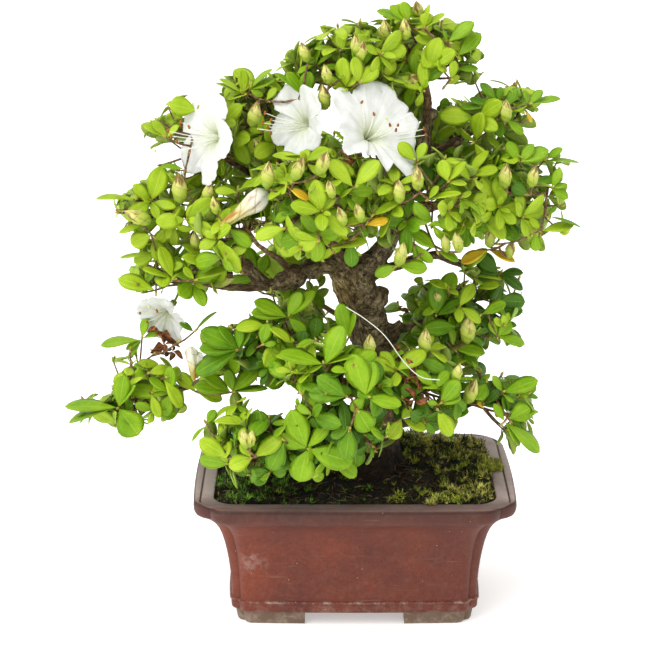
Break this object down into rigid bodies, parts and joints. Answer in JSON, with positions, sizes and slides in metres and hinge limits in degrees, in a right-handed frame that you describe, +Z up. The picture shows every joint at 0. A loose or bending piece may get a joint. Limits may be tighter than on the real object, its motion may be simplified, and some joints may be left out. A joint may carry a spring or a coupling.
{
  "type": "satsuki azalea bonsai",
  "caption": "Potted azalea trained as a small tree: leaning trunk, spreading boughs, masses of leaves with white blossoms, standing on the feet of a rectangular clay pot.",
  "frame": {"origin": "on the surface that the pot stands on, under the middle of the plant's bounding box", "axes": "+X to the right as the tree is seen from its front, +Y away from the front, +Z up"},
  "size_m": [0.3448, 0.2294, 0.4289],
  "materials": {
    "clay": "unglazed purple-brown clay, smooth, slightly burnished, with pale lime marks",
    "soil": "damp dark soil under green moss",
    "bark": "mottled grey-brown bark, darker and damp at the foot",
    "foliage": "bright yellow-green leaves, satin above and paler below, reddish-brown twigs",
    "petal": "white petals with a greenish throat, cream buds with brown blotches"
  },
  "bodies": {
    "root": {"apex_mass": "foliage", "back_bough": "bark", "back_left_bough": "bark", "back_left_mass": "foliage", "back_low_bough": "bark", "back_low_mass": "foliage", "back_low_right_bough": "bark", "back_low_right_mass": "foliage", "back_mass": "foliage", "back_right_bough": "bark", "back_right_mass": "foliage", "back_upper_bough": "bark", "back_upper_mass": "foliage", "dead_bough": "bark", "front_bough": "bark", "front_centre_mass": "foliage", "front_low_right_bough": "bark", "front_low_right_mass": "foliage", "front_right_bough": "bark", "front_right_mass": "foliage", "leader": "bark", "left_bough": "bark", "left_far_mass": "foliage", "left_inner_bough": "bark", "left_inner_mass": "foliage", "left_mid_mass": "foliage", "left_riser": "bark", "left_top_mass": "foliage", "left_upper_bough": "bark", "low_front_bough": "bark", "low_front_left_bough": "bark", "low_front_left_mass": "foliage", "low_front_mass": "foliage", "low_left_bough": "bark", "low_left_far_mass": "foliage", "low_left_mass": "foliage", "low_left_riser": "bark", "low_right_bough": "bark", "low_right_mass": "foliage", "pot": "clay", "right_bough": "bark", "right_low_bough": "bark", "right_low_mass": "foliage", "right_mass": "foliage", "soil": "soil", "trunk": "bark", "upper_centre_bough": "bark", "upper_centre_mass": "foliage", "upper_left_bough": "bark", "upper_left_mass": "foliage", "upper_right_bough": "bark", "upper_right_mass": "foliage"}
  },
  "joints": []
}
